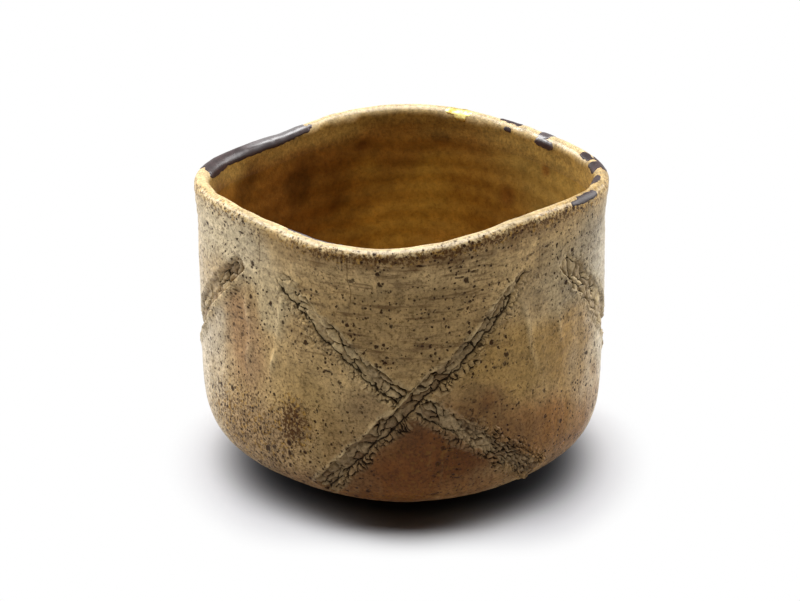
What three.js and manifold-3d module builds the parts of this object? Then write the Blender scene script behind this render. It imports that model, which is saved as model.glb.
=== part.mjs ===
// A hand-made tea bowl: a nearly upright wall pushed square at the mouth, lines carved across it, one coat
// of glaze outside and another in the well, and old chips of the lip filled with lacquer and with gold.
// Millimetres, +Z up. The origin is on the table under the middle of the foot, and the front faces -Y.
// Angles are in degrees round the axis, 0 at the front and growing to the right.
import * as THREE from "three";
import { mergeVertices } from "three/addons/utils/BufferGeometryUtils.js";
import Module from "manifold-3d";

// The thrown form. Heights are from the table, and radii are taken before the mouth is pushed square.
const bowlHeight = 89.5;
const lipRadius = 2.3;
const mouthRadius = 57.6;
const neckRadius = 57.1;
const neckHeight = 77;
const bellyRadius = 58.2;
const bellyHeight = 30;
const baseRadius = 30;
const turnFullness = 3.5;
const wallThickness = 5.6;
const floorHeight = 13;
const wellHeight = 38;
const wellFullness = 2.6;

// The foot ring, luted under the base
const footHeight = 6.8;
const footRadius = 31;
const footWall = 7;
const footBevel = 1.2;

// The coats of glaze, and the hairline left between pieces that were bonded in the firing or the mending
const glazeThickness = 0.8;
const bondGap = 0.3;
const glazeEdgeRadius = 46;
const lipCoatDepth = 9;

// The gouge that carved the lines, and the crawled glaze that lies in them
const gougeRadius = 4.5;
const gougeDepth = 2.1;
const gougeEntry = 8; // the higher, the shorter the run in which a stroke starts and ends
const crawlThickness = 0.7;

// How far the mouth was pushed out of round, and how far its lip rises and dips
const mouthSquareness = 2.7;
const mouthSkew = 0.56;
const lipTilt = 1.2;
const lipRoll = 0.56;
const lipTwist = 1.0;
const lipRipple = 0.48;
const baseShareOfPush = 0.3;
const lipRiseFade = 3; // the higher, the closer the unevenness stays to the lip
const mouthPush = [
  { lobes: 4, size: mouthSquareness, angle: 0 },
  { lobes: 3, size: mouthSkew, angle: 30 },
];
const lipRise = [
  { lobes: 1, size: lipTilt, angle: 90 },
  { lobes: 2, size: lipRoll, angle: 36 },
  { lobes: 3, size: lipTwist, angle: 45 },
  { lobes: 4, size: lipRipple, angle: 26 },
];

// The heights that the carved strokes run between, and each side's strokes as stops of angle and height
const crossTop = 74;
const crossMiddle = 44;
const crossBottom = 12;
const lineTop = 76.5;
const lineMiddle = 52;
const lineBottom = 14;
const carvings = [
  {
    side: "front",
    strokes: [
      [[-38, crossTop], [2, crossMiddle], [45, crossBottom]],
      [[35.5, crossTop], [2.5, crossMiddle], [-26, crossBottom]],
    ],
  },
  { side: "right", strokes: [[[51, lineTop], [76.7, lineMiddle], [114, lineBottom]]] },
  {
    side: "back",
    strokes: [
      [[142, crossTop], [181, crossMiddle], [219, crossBottom]],
      [[217, crossTop], [181, crossMiddle], [146, crossBottom]],
    ],
  },
  { side: "left", strokes: [[[-53, lineTop], [-76.8, lineMiddle], [-113, lineBottom]]] },
];

// The mended chips: where each starts and ends along the lip, how far it leans from the crest towards the
// well, and how deep it bites
const deepChip = 2.9;
const broadChip = 2.2;
const smallChip = 1.7;
const slimChip = 1.3;
const lacquer = { color: 0x2e2224, roughness: 0.18, metalness: 0 };
const gold = { color: 0xc9a24a, roughness: 0.3, metalness: 1 };
const repairs = [
  { name: "lacquer_repair_left", from: -146, to: -96, lean: 5, depth: deepChip, look: lacquer },
  { name: "lacquer_repair_front", from: -37, to: -18.5, lean: 45, depth: slimChip, look: lacquer },
  { name: "lacquer_repair_right_front", from: 60, to: 69, lean: -40, depth: broadChip, look: lacquer },
  { name: "lacquer_repair_right", from: 80, to: 84.5, lean: 35, depth: smallChip, look: lacquer },
  { name: "lacquer_repair_right_back", from: 93, to: 103.5, lean: -10, depth: broadChip, look: lacquer },
  { name: "lacquer_repair_back_oval", from: 122.5, to: 126, lean: 45, depth: broadChip, look: lacquer },
  { name: "lacquer_repair_back", from: 138.5, to: 144.5, lean: -20, depth: smallChip, look: lacquer },
  { name: "gold_repair_back", from: 160, to: 164.5, lean: 20, depth: smallChip, look: gold },
];

// How finely the round forms are faceted
const columns = 36;
const turnSteps = 6;
const wallSteps = 4;
const lipSteps = 6;
const wellSteps = 6;
const strokeSteps = 10;
const gougeSides = 10;
const chipSides = 8;
const chipStepAngle = 8;
const slopeReach = 0.1;
const weldDistance = 1e-4;

const baseHeight = footHeight + bondGap;
const coatDepth = glazeThickness + bondGap;
const lipMiddle = new THREE.Vector2(mouthRadius - lipRadius, bowlHeight - lipRadius);
const wellRadius = bellyRadius - wallThickness;
const turnBottom = baseHeight - coatDepth;

const wasm = await Module();
wasm.setup();

function radians(degrees) {
  return THREE.MathUtils.degToRad(degrees);
}

// The outer wall's radius: a quarter of a superellipse turning up from the base, then a slow taper up
function wallRadius(height) {
  if (height < bellyHeight) {
    const drop = (bellyHeight - height) / (bellyHeight - turnBottom);
    const reach = (1 - drop ** turnFullness) ** (1 / turnFullness);
    return baseRadius + (bellyRadius - baseRadius) * reach;
  }
  const climb = (height - bellyHeight) / (neckHeight - bellyHeight);
  return bellyRadius - (bellyRadius - neckRadius) * climb ** 2;
}

// Points on a quarter of a superellipse, from a radius on its flat side out to its upright side
function turnPoints(flatRadius, uprightRadius, low, high, fullness, fromRadius, steps) {
  const start = Math.asin(((fromRadius - flatRadius) / (uprightRadius - flatRadius)) ** (fullness / 2));
  const points = [];
  for (let step = 0; step <= steps; step++) {
    const turn = THREE.MathUtils.lerp(start, Math.PI / 2, step / steps);
    const out = Math.sin(turn) ** (2 / fullness);
    const down = Math.abs(Math.cos(turn)) ** (2 / fullness);
    points.push(new THREE.Vector2(
      THREE.MathUtils.lerp(flatRadius, uprightRadius, out),
      THREE.MathUtils.lerp(high, low, down),
    ));
  }
  return points;
}

// Points on a straight run of the profile, without its first end
function runPoints(from, to, steps) {
  const points = [];
  for (let step = 1; step <= steps; step++) {
    points.push(from.clone().lerp(to, step / steps));
  }
  return points;
}

// The outside of the outer coat, from its edge under the base up to the crest and down to the inner coat
function coatOutside() {
  const points = turnPoints(
    baseRadius, bellyRadius, turnBottom, bellyHeight, turnFullness, glazeEdgeRadius, turnSteps,
  );
  for (let step = 1; step <= wallSteps; step++) {
    const height = THREE.MathUtils.lerp(bellyHeight, neckHeight, step / wallSteps);
    points.push(new THREE.Vector2(wallRadius(height), height));
  }
  for (let step = 0; step <= lipSteps; step++) {
    const turn = (Math.PI * step) / lipSteps;
    const spoke = new THREE.Vector2(lipRadius * Math.cos(turn), lipRadius * Math.sin(turn));
    points.push(lipMiddle.clone().add(spoke));
  }
  points.push(wellWallPoint(bowlHeight - lipCoatDepth));
  return points;
}

// The well's wall, straight from the inside of the lip down to where it starts to turn in
function wellWallPoint(height) {
  const lipEdge = mouthRadius - 2 * lipRadius;
  const share = (height - wellHeight) / (lipMiddle.y - wellHeight);
  return new THREE.Vector2(THREE.MathUtils.lerp(wellRadius, lipEdge, share), height);
}

// The well's surface, from a height just under the lip down to the middle of its floor
function wellSurface(fromHeight) {
  const top = wellWallPoint(fromHeight);
  const shoulder = wellWallPoint(wellHeight);
  const turn = turnPoints(0, wellRadius, floorHeight, wellHeight, wellFullness, 0, wellSteps).reverse();
  return [top, ...runPoints(top, shoulder, wallSteps), ...turn.slice(1)];
}

// A profile moved into the bowl's thickness, each point along the mean normal of its two sides
function sunk(profile, distance) {
  return profile.map((point, i) => {
    const before = profile[Math.max(i - 1, 0)];
    const after = profile[Math.min(i + 1, profile.length - 1)];
    const ahead = after.clone().sub(point).normalize();
    const behind = point.clone().sub(before).normalize();
    const along = ahead.add(behind).normalize();
    const moved = new THREE.Vector2(point.x - along.y * distance, point.y + along.x * distance);
    return point.x === 0 ? new THREE.Vector2(0, point.y - distance) : moved;
  });
}

// The sum of a set of waves at an angle in radians
function waveAt(waves, angle) {
  let sum = 0;
  for (const wave of waves) {
    sum += wave.size * Math.cos(wave.lobes * (angle - radians(wave.angle)));
  }
  return sum;
}

// Moves a point of the round form to where pushing the mouth square and lifting the lip leaves it
function pushed(point) {
  const radius = Math.hypot(point.x, point.y);
  const angle = Math.atan2(point.x, -point.y);
  const rise = THREE.MathUtils.clamp((point.z - footHeight) / (bowlHeight - footHeight), 0, 1);
  const share = THREE.MathUtils.lerp(baseShareOfPush, 1, rise);
  const reach = share * THREE.MathUtils.smoothstep(radius, 0, baseRadius);
  const spread = radius + reach * waveAt(mouthPush, angle);
  const height = point.z + rise ** lipRiseFade * waveAt(lipRise, angle);
  return new THREE.Vector3(spread * Math.sin(angle), -spread * Math.cos(angle), height);
}

// A closed profile turned round the axis
function turned(profile) {
  return new THREE.LatheGeometry(profile, columns).rotateX(Math.PI / 2);
}

// A closed profile turned round the axis and then pushed square
function thrown(profile) {
  const geometry = turned(profile);
  const places = geometry.attributes.position;
  const point = new THREE.Vector3();
  for (let i = 0; i < places.count; i++) {
    const moved = pushed(point.fromBufferAttribute(places, i));
    places.setXYZ(i, moved.x, moved.y, moved.z);
  }
  return solid(geometry);
}

// A geometry as a solid that can be joined and cut: corners welded, flat triangles at the axis left out
function solid(geometry) {
  const bare = geometry.clone();
  bare.deleteAttribute("normal");
  bare.deleteAttribute("uv");
  const welded = mergeVertices(bare, weldDistance);
  const corners = welded.index.array;
  const kept = [];
  for (let i = 0; i < corners.length; i += 3) {
    const [a, b, c] = [corners[i], corners[i + 1], corners[i + 2]];
    if (a !== b && b !== c && c !== a) {
      kept.push(a, b, c);
    }
  }
  const vertProperties = Float32Array.from(welded.attributes.position.array);
  return new wasm.Manifold(new wasm.Mesh({ numProp: 3, vertProperties, triVerts: Uint32Array.from(kept) }));
}

function joined(solids) {
  return solids.reduce((whole, next) => whole.add(next));
}

// A round rod along a path
function rod(path, radius, sides, steps) {
  const section = new THREE.Shape();
  for (let side = 0; side < sides; side++) {
    const turn = (2 * Math.PI * side) / sides;
    const [x, y] = [radius * Math.cos(turn), radius * Math.sin(turn)];
    if (side === 0) {
      section.moveTo(x, y);
    } else {
      section.lineTo(x, y);
    }
  }
  return solid(new THREE.ExtrudeGeometry(section, { steps, bevelEnabled: false, extrudePath: path }));
}

// The way of the gouge's middle along a stroke: down to its depth, along, and out of the wall again
function gougePath(stops) {
  const stroke = new THREE.SplineCurve(stops.map(([angle, height]) => new THREE.Vector2(angle, height)));
  const points = [];
  for (let step = 0; step <= strokeSteps; step++) {
    const share = step / strokeSteps;
    const { x: angle, y: height } = stroke.getPoint(share);
    const lift = gougeDepth * Math.abs(2 * share - 1) ** gougeEntry;
    const standOff = gougeRadius - gougeDepth + lift;
    const slope = (wallRadius(height + slopeReach) - wallRadius(height - slopeReach)) / (2 * slopeReach);
    const tilt = Math.hypot(1, slope);
    const radius = wallRadius(height) + standOff / tilt;
    const turn = radians(angle);
    const lowered = height - (standOff * slope) / tilt;
    const place = new THREE.Vector3(radius * Math.sin(turn), -radius * Math.cos(turn), lowered);
    points.push(pushed(place));
  }
  return new THREE.CatmullRomCurve3(points);
}

// Everything that the strokes of one side sweep with a gouge of some radius
function gouged(carving, radius) {
  return joined(carving.strokes.map((stops) => rod(gougePath(stops), radius, gougeSides, strokeSteps)));
}

// The round-ended space of one chip along the lip, grown by a gap where one is given
function chip(repair, gap) {
  const radius = repair.depth + gap;
  const lean = radians(repair.lean);
  const ringRadius = lipMiddle.x - lipRadius * Math.sin(lean);
  const height = lipMiddle.y + lipRadius * Math.cos(lean);
  const steps = Math.max(2, Math.ceil((repair.to - repair.from) / chipStepAngle));
  const points = [];
  for (let step = 0; step <= steps; step++) {
    const turn = radians(THREE.MathUtils.lerp(repair.from, repair.to, step / steps));
    const place = new THREE.Vector3(ringRadius * Math.sin(turn), -ringRadius * Math.cos(turn), height);
    points.push(pushed(place));
  }
  const ends = [points[0], points[steps]].map((end) => {
    const ball = new THREE.SphereGeometry(radius, chipSides, chipSides / 2);
    return solid(ball.translate(end.x, end.y, end.z));
  });
  return joined([rod(new THREE.CatmullRomCurve3(points), radius, chipSides, steps), ...ends]);
}

const group = new THREE.Group();

function addPiece(name, whole, look) {
  const { vertProperties, triVerts } = whole.getMesh();
  const geometry = new THREE.BufferGeometry();
  geometry.setAttribute("position", new THREE.BufferAttribute(vertProperties, 3));
  geometry.setIndex(new THREE.BufferAttribute(triVerts, 1));
  geometry.computeVertexNormals();
  const mesh = new THREE.Mesh(geometry, new THREE.MeshStandardMaterial(look));
  mesh.name = name;
  group.add(mesh);
}

const outside = coatOutside();
const joinHeight = bowlHeight - lipCoatDepth;
const baseEdge = new THREE.Vector2(baseRadius, turnBottom);
const glazedSkin = [baseEdge, ...outside, ...wellSurface(joinHeight).slice(1)];
const glazedForm = thrown([new THREE.Vector2(0, turnBottom), ...glazedSkin]);
const carved = joined(carvings.map((carving) => gouged(carving, gougeRadius)));
const chipped = joined(repairs.map((repair) => chip(repair, bondGap)));

// The fired clay, a coat and a hairline inside the glazed form
const clayProfile = [new THREE.Vector2(0, baseHeight), ...sunk(glazedSkin, coatDepth)];
addPiece("bowl_body", thrown(clayProfile).subtract(carved).subtract(chipped), {
  color: 0xa98a66, roughness: 0.9, metalness: 0,
});

// The foot ring, left round and unglazed
const footInner = footRadius - footWall;
const footProfile = [
  new THREE.Vector2(footInner + footBevel, 0),
  new THREE.Vector2(footRadius - footBevel, 0),
  new THREE.Vector2(footRadius, footBevel),
  new THREE.Vector2(footRadius, footHeight),
  new THREE.Vector2(footInner, footHeight),
  new THREE.Vector2(footInner, footBevel),
  new THREE.Vector2(footInner + footBevel, 0),
];
addPiece("foot_ring", solid(turned(footProfile)), { color: 0x96785a, roughness: 0.92, metalness: 0 });

// The outer coat of glaze runs over the lip and a little way down inside, where the inner coat meets it.
const outerCoat = thrown([...outside, ...sunk(outside, glazeThickness).reverse(), outside[0]]);
addPiece("outer_glaze", outerCoat.subtract(carved).subtract(chipped), {
  color: 0x9c835c, roughness: 0.35, metalness: 0,
});
const wellSkin = wellSurface(joinHeight - bondGap);
addPiece("inner_glaze", thrown([...sunk(wellSkin, glazeThickness).reverse(), ...wellSkin]), {
  color: 0x8a5a22, roughness: 0.3, metalness: 0,
});

// The crawled glaze lines each carved groove as a curved ribbon.
for (const carving of carvings) {
  const ribbon = gouged(carving, gougeRadius - bondGap).intersect(glazedForm);
  const hollow = gouged(carving, gougeRadius - bondGap - crawlThickness);
  addPiece(`crawled_glaze_${carving.side}`, ribbon.subtract(hollow), {
    color: 0x8f8468, roughness: 0.4, metalness: 0,
  });
}

// Each mended chip is filled flush with the lip.
for (const repair of repairs) {
  addPiece(repair.name, chip(repair, 0).intersect(glazedForm), repair.look);
}

export default group;
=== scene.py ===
import math
import bpy
import numpy as np
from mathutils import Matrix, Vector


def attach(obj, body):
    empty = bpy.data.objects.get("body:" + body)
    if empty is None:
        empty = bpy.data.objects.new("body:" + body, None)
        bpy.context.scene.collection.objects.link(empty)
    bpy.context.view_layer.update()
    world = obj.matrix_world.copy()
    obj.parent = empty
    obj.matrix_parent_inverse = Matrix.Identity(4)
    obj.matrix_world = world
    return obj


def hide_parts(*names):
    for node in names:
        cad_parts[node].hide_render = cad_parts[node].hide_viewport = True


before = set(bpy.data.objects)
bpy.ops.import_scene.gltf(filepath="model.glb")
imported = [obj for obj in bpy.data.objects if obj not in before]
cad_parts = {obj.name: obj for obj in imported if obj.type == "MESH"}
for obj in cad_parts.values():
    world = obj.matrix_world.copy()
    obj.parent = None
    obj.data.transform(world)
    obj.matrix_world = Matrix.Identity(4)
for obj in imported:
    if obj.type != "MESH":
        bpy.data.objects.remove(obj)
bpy.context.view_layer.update()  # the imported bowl, which stays as it is
mm = 0.001  # the bowl's maths is in millimetres
print("frame loaded:", len(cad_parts), "nodes")

# the thrown form: heights from the table, radii from the axis, angles in degrees from the front to the right;
# the radius at which the wall is unrolled, the least ring's radius, and the points in each part of the line
bowl = {
    "height": 89.5, "lipRadius": 2.3, "mouthRadius": 57.6, "neckRadius": 57.1, "neckHeight": 77.0,
    "bellyRadius": 58.2, "bellyHeight": 30.0, "baseRadius": 30.0, "turnBottom": 6.0, "turnFullness": 3.5,
    "wellRadius": 52.6, "floorHeight": 13.0, "wellHeight": 38.0, "wellFullness": 2.6,
    "glazeEdge": 46.0, "joinDepth": 9.0, "footHeight": 6.8, "baseShare": 0.3, "riseFade": 3.0,
    "unrollRadius": 58.0, "tip": 0.4, "turnPoints": 400, "wallPoints": 400, "lipPoints": 200,
    "wellPoints": 500,
    "push": ((4, 2.7, 0), (3, 0.56, 30)),
    "rise": ((1, 1.2, 90), (2, 0.56, 36), (3, 1.0, 45), (4, 0.48, 26)),
}


# numbers that look random but repeat: a whole-number corner mixed into 0 to 1
mixers = (374761393, 668265263, 2246822519, 3266489917)
wordMask = 0xFFFFFFFF


def cornerValue(ix, iy, iz, seed):
    a, b, c, d = mixers
    n = (ix * a + iy * b + iz * c + seed * d) & wordMask
    n = ((n ^ (n >> 15)) * c) & wordMask
    n = ((n ^ (n >> 13)) * d) & wordMask
    return (n ^ (n >> 16)) / wordMask


# smooth lumps from -1 to 1: the eight corner values round each point, eased between
def lumps(points, size, seed):
    spot = points / size
    low = np.floor(spot)
    part = spot - low
    part = part ** 3 * (part * (part * 6 - 15) + 10)
    cell = low.astype(np.int64)
    total = 0.0
    for corner in np.ndindex(2, 2, 2):
        near = np.where(np.array(corner) == 1, part, 1 - part).prod(axis=-1)
        total = total + near * cornerValue(*(cell[..., k] + corner[k] for k in range(3)), seed)
    return total * 2 - 1


# cracked paving: jittered points on a grid of cells, each place belongs to the nearest one;
# gives the distance in mm to the cell's border and a number for the cell
def paving(u, v, sizeU, sizeV, seed):
    spot = np.stack([u / sizeU, v / sizeV], -1)
    low = np.floor(spot).astype(np.int64)
    best = np.full(u.shape, 9e9)
    second = best.copy()
    home = np.zeros(spot.shape)
    rival = np.zeros(spot.shape)
    name = np.zeros(u.shape)
    for dx, dy in np.ndindex(5, 5):
        cx, cy = low[..., 0] + dx - 2, low[..., 1] + dy - 2
        middle = np.stack([cx + cornerValue(cx, cy, 0 * cx, seed),
                           cy + cornerValue(cx, cy, 0 * cx + 1, seed)], -1)
        away = ((spot - middle) ** 2).sum(-1)
        nearest = away < best
        runnerUp = ~nearest & (away < second)
        rival = np.where(nearest[..., None], home, np.where(runnerUp[..., None], middle, rival))
        second = np.where(nearest, best, np.where(runnerUp, away, second))
        home = np.where(nearest[..., None], middle, home)
        name = np.where(nearest, cornerValue(cx, cy, 0 * cx + 2, seed), name)
        best = np.where(nearest, away, best)
    across = rival - home
    across /= np.linalg.norm(across, axis=-1, keepdims=True) + 1e-9
    border = (((home + rival) / 2 - spot) * across).sum(-1)
    return border / np.hypot(across[..., 0] / sizeU, across[..., 1] / sizeV), name


def eased(low, high, value):  # 0 at low, 1 at high, with soft ends
    share = np.clip((value - low) / (high - low), 0, 1)
    return share * share * (3 - 2 * share)


def bell(value, middle, width):  # 1 at the middle, falling away on both sides
    return np.exp(-((value - middle) / width) ** 2)


def turnFrom(theta, degrees):  # the turn in radians from an angle, the short way round
    return (theta - np.radians(degrees) + math.pi) % (2 * math.pi) - math.pi


def linear(red, green, blue):  # a colour as picked on screen, made linear
    c = np.array([red, green, blue]) / 255.0
    return np.where(c <= 0.04045, c / 12.92, ((c + 0.055) / 1.055) ** 2.4)


# the profile, as a dense line from the glaze's edge up the wall, over the lip and down to the floor's middle
def profileLine():
    b = bowl
    start = math.asin(((b["glazeEdge"] - b["baseRadius"]) / (b["bellyRadius"] - b["baseRadius"]))
                      ** (b["turnFullness"] / 2))
    turn = np.linspace(start, math.pi / 2, b["turnPoints"])  # the turn-in: a quarter of a superellipse
    power = 2 / b["turnFullness"]
    turnR = b["baseRadius"] + (b["bellyRadius"] - b["baseRadius"]) * np.sin(turn) ** power
    turnZ = b["bellyHeight"] - (b["bellyHeight"] - b["turnBottom"]) * np.abs(np.cos(turn)) ** power
    wallZ = np.linspace(b["bellyHeight"], b["neckHeight"], b["wallPoints"])[1:]  # the wall: a slow taper
    climb = (wallZ - b["bellyHeight"]) / (b["neckHeight"] - b["bellyHeight"])
    wallR = b["bellyRadius"] - (b["bellyRadius"] - b["neckRadius"]) * climb ** 2
    lipTurn = np.linspace(0, math.pi, b["lipPoints"])  # the lip: half a circle
    lipR = b["mouthRadius"] - b["lipRadius"] + b["lipRadius"] * np.cos(lipTurn)
    lipZ = b["height"] - b["lipRadius"] + b["lipRadius"] * np.sin(lipTurn)
    well = np.linspace(math.pi / 2, 0, b["wellPoints"])  # the well's turn: a fuller quarter
    power = 2 / b["wellFullness"]
    wellR = b["wellRadius"] * np.abs(np.sin(well)) ** power
    wellZ = b["wellHeight"] - (b["wellHeight"] - b["floorHeight"]) * np.abs(np.cos(well)) ** power
    r = np.concatenate([turnR, wallR, lipR, wellR])
    z = np.concatenate([turnZ, wallZ, lipZ, wellZ])
    s = np.concatenate([[0], np.cumsum(np.hypot(np.diff(r), np.diff(z)))])
    keep = np.concatenate([[True], np.diff(s) > 1e-6])
    return s[keep], r[keep], z[keep]


lineS, lineR, lineZ = profileLine()
crestS = float(lineS[np.argmax(lineZ)])  # how far along the profile the crest of the lip is
endS = float(lineS[-1])
tipS = endS - bowl["tip"]  # the last ring before the middle of the floor
joinS = crestS + math.pi / 2 * bowl["lipRadius"] + bowl["joinDepth"] - bowl["lipRadius"]
outerPart = lineS <= crestS


def alongAt(height):  # distance along the profile at a height of the outer wall
    return np.interp(height, lineZ[outerPart], lineS[outerPart])


def heightAt(s):  # height of the plain form at a distance along the profile
    return np.interp(s, lineS, lineZ)


def nearCrest(low, high, s):  # eased between two distances from the crest of the lip, below 0 outside
    return eased(crestS + low, crestS + high, s)


def waves(parts, theta):  # a sum of cosines, each with its lobes, size and angle
    return sum(size * np.cos(lobes * (theta - math.radians(at))) for lobes, size, at in parts)


# a point of the round form moved to where pushing the mouth square and lifting the lip leaves it
def pushed(theta, r, z):
    rise = np.clip((z - bowl["footHeight"]) / (bowl["height"] - bowl["footHeight"]), 0, 1)
    share = bowl["baseShare"] + (1 - bowl["baseShare"]) * rise
    spread = r + share * eased(0, bowl["baseRadius"], r) * waves(bowl["push"], theta)
    lifted = z + rise ** bowl["riseFade"] * waves(bowl["rise"], theta)
    return np.stack([spread * np.sin(theta), -spread * np.cos(theta), lifted], -1)


def surfaceAt(theta, s):  # the glazed form at an angle and a distance along the profile
    return pushed(theta, np.interp(s, lineS, lineR), heightAt(s))


def outwardAt(theta, s):  # its outward direction there: across the two surface tangents
    step = 0.25
    turn = step / bowl["unrollRadius"]
    alongWay = surfaceAt(theta, np.minimum(s + step, endS)) - surfaceAt(theta, np.maximum(s - step, 0))
    roundWay = surfaceAt(theta + turn, s) - surfaceAt(theta - turn, s)
    out = np.cross(roundWay, alongWay)
    size = np.linalg.norm(out, axis=-1, keepdims=True)
    return np.where(size > 1e-9, out / np.maximum(size, 1e-9), np.array([0.0, 0.0, 1.0]))


print("profile:", round(endS, 1), "mm long, crest at", round(crestS, 1))

# the carved strokes, top to bottom: stops of angle and height; half width at the top, middle and end; depth;
# the length in which it reaches that depth; how soft the bank without a crest is;
# flakes along the lower and the upper bank and how much is fine bead, at the top, middle and end;
# the crest's height on the upper (or, below 0, the lower) bank; how pale the islands are at the top, middle
# and end; how jagged the banks are; how much larger the islands are; how long the crest's outer slope is
usualStroke = {"soft": 0.6, "upper": (0.0, 0.0, 0.0), "fine": (0.0, 0.0, 0.0),
               "jag": 1.0, "large": 1.0, "slope": 0.7}
strokes = {
    "front": [
        {**usualStroke, "stops": ((38, 77.5), (2.5, 44), (-26, 12)), "half": (1.6, 2.0, 2.3), "deep": 1.15,
         "enter": 9, "lower": (0.1, 0.95, 1.15), "crest": 0.45, "pale": (0.6, 0.25, 0.4), "jag": 0.65,
         "seed": 11},
        {**usualStroke, "stops": ((-40.5, 77), (2, 44), (45, 12)), "half": (3.0, 2.6, 2.7), "deep": 1.05,
         "enter": 12, "lower": (0.1, 0.6, 0.9), "upper": (0.0, 0.0, 0.5), "fine": (0.0, 0.0, 1.0),
         "crest": 0.45, "pale": (1.2, 0.6, 0.0), "jag": 0.9, "seed": 12},
    ],
    "right": [
        {**usualStroke, "stops": ((51, 76.5), (76.7, 52), (114, 14)), "half": (3.0, 3.1, 2.4), "deep": 1.0,
         "enter": 7, "soft": 1.0, "lower": (0.0, 0.3, 0.6), "upper": (0.0, 0.4, 0.5),
         "fine": (0.0, 0.15, 0.6), "crest": -0.4, "pale": (0.7, 0.7, 0.5), "jag": 0.9, "large": 1.3,
         "seed": 13},
    ],
    "back": [
        {**usualStroke, "stops": ((142, 74), (181, 44), (219, 12)), "half": (1.6, 1.9, 2.2), "deep": 1.15,
         "enter": 10, "lower": (0.1, 0.4, 1.0), "fine": (0.0, 0.0, 0.2), "crest": 0.4,
         "pale": (0.6, 0.3, 0.1), "seed": 14},
        {**usualStroke, "stops": ((217, 74), (181, 44), (146, 12)), "half": (2.2, 2.0, 2.3), "deep": 1.05,
         "enter": 10, "lower": (0.3, 0.5, 0.9), "upper": (0.0, 0.0, 0.3), "fine": (0.0, 0.0, 0.7),
         "crest": 0.3, "pale": (1.0, 0.6, 0.0), "seed": 15},
    ],
    "left": [
        {**usualStroke, "stops": ((-53, 76.5), (-76.8, 52), (-113, 14)), "half": (2.5, 2.7, 2.3), "deep": 1.4,
         "enter": 6, "soft": 1.7, "lower": (0.0, 0.0, 0.6), "upper": (0.0, 0.1, 0.5), "fine": (0.0, 0.0, 0.4),
         "crest": -0.9, "pale": (0.5, 0.4, 0.3), "jag": 0.5, "large": 1.2, "slope": 1.7, "seed": 16},
    ],
}
carving = {
    "margin": 6.6, "pitchAlong": 0.22, "pitchAcross": 0.2, "wander": 0.5, "cellLong": 4.4, "cellWide": 2.2,
    "flakeLong": 1.45, "flakeWide": 3.0, "curlSize": 2.1, "islandHigh": 0.4, "islandStep": 0.42,
    "flakeHigh": 0.75, "curlHigh": 0.7, "crackWide": 0.26, "crackDeep": 0.45, "thinCrackDeep": 0.32,
    "tuck": 0.09, "under": 2.1, "backing": 2.35, "inset": 7, "spotPitch": 1.0, "blockSize": 20000,
    "pale": linear(184, 162, 120), "grey": linear(106, 81, 54),
}


# a smooth line through a stroke's stops, evenly spaced on the unrolled wall, with a hand's wander
def strokeLine(stroke, pitch):
    stops = np.array(stroke["stops"], float)
    share = np.linspace(0, 1, bowl["wallPoints"]) * (len(stops) - 1)
    i = np.minimum(share.astype(int), len(stops) - 2)
    f = (share - i)[:, None]
    p0, p1, p2, p3 = (stops[np.clip(i + k, 0, len(stops) - 1)] for k in (-1, 0, 1, 2))
    v1, v2 = (p2 - p0) / 2, (p3 - p1) / 2
    points = (2 * p1 - 2 * p2 + v1 + v2) * f ** 3 + (-3 * p1 + 3 * p2 - 2 * v1 - v2) * f ** 2 + v1 * f + p1
    u = np.radians(points[:, 0]) * bowl["unrollRadius"]
    v = alongAt(points[:, 1])
    length = np.concatenate([[0], np.cumsum(np.hypot(np.diff(u), np.diff(v)))])
    even = np.linspace(0, length[-1], int(length[-1] / pitch))
    u, v = np.interp(even, length, u), np.interp(even, length, v)
    spot = np.stack([even, 0 * even, 0 * even], -1)
    drift = carving["wander"] * (lumps(spot, 15, stroke["seed"]) + 0.4 * lumps(spot, 5, stroke["seed"] + 50))
    way = np.stack([np.gradient(u), np.gradient(v)], -1)
    way /= np.linalg.norm(way, axis=-1, keepdims=True)
    return even, np.stack([u - way[:, 1] * drift, v + way[:, 0] * drift], -1), way


# distance across and along a stroke from places on the unrolled wall: nearest point of its line
def strokeSpot(stroke, theta, s):
    even, line, way = strokeLine(stroke, carving["spotPitch"])
    middle = stroke["stops"][1][0]
    u = (turnFrom(theta, middle) + math.radians(middle)) * bowl["unrollRadius"]
    flat = np.stack([u, s], -1).reshape(-1, 2)
    across, along = np.empty(len(flat)), np.empty(len(flat))
    blocks = max(1, len(flat) // carving["blockSize"])  # in parts, to save memory
    for block in np.array_split(np.arange(len(flat)), blocks):
        gap = flat[block, None, :] - line[None]
        near = (gap ** 2).sum(-1).argmin(1)
        step = flat[block] - line[near]
        along[block] = even[near] + (step * way[near]).sum(-1)
        across[block] = way[near, 0] * step[:, 1] - way[near, 1] * step[:, 0]
    return across.reshape(u.shape), along.reshape(u.shape), even[-1]


# scraped ridges down the wall: from and to as angle and height
ridges = (
    {"ends": ((-36.8, 71), (-42.5, 42)), "high": 0.62, "wide": 0.75},
    {"ends": ((49, 71), (51.5, 50)), "high": 0.55, "wide": 0.7},
    {"ends": ((35, 68), (41.5, 44)), "high": 0.5, "wide": 0.8},
    {"ends": ((-52, 68), (-51, 40)), "high": 0.45, "wide": 1.2},
    {"ends": ((128, 70), (133, 46)), "high": 0.35, "wide": 0.8},
    {"ends": ((-140, 70), (-134, 42)), "high": 0.35, "wide": 0.8},
)
relief = {"swell": 0.34, "swellSize": 24, "dimple": 0.12, "dimpleSize": 8, "ring": 0.085, "ringPitch": 3.4,
          "streak": 0.13, "streakSize": (2.6, 2.6, 26.0), "lipLump": 0.2, "lipSize": 5.5,
          "wellRing": 0.1, "wellPitch": 6.5}


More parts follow.
